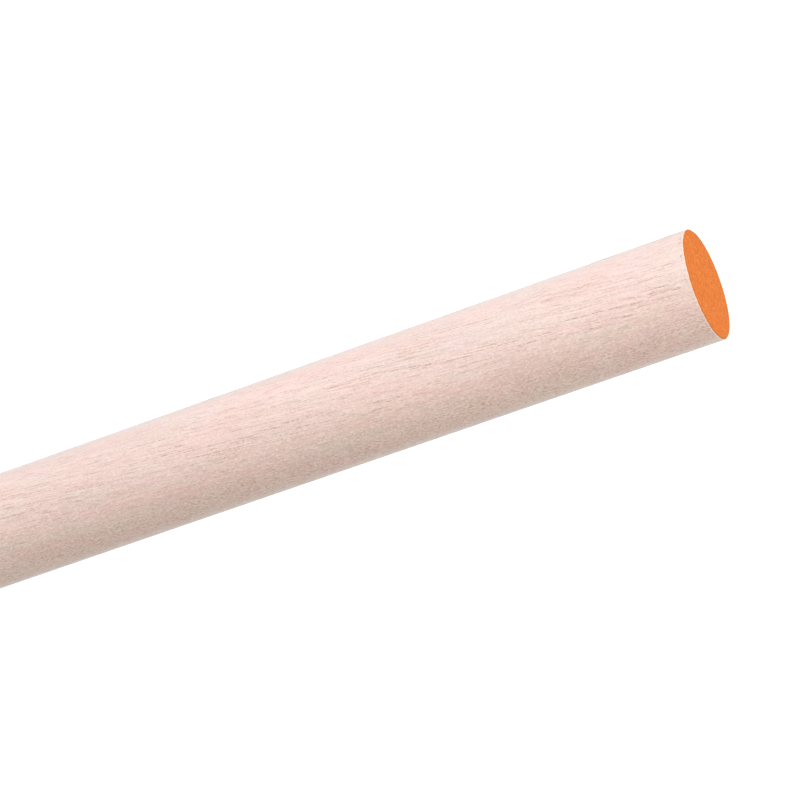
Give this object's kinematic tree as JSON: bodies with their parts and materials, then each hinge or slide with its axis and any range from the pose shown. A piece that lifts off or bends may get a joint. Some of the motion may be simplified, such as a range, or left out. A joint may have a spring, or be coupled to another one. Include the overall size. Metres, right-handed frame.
{
  "type": "dowel rod",
  "caption": "Straight round wooden dowel rod with square-sawn, slightly eased ends and one painted end face, for pegs, rails and spindles.",
  "frame": {"origin": "middle of the plain sawn end, on which the rod stands", "axes": "+Z along the rod's axis, from the plain end up to the painted end"},
  "size_m": [0.0254, 0.0254, 0.3048],
  "materials": {
    "wood": "matte"
  },
  "bodies": {
    "root": {"dowel_rod": "wood"}
  },
  "joints": []
}
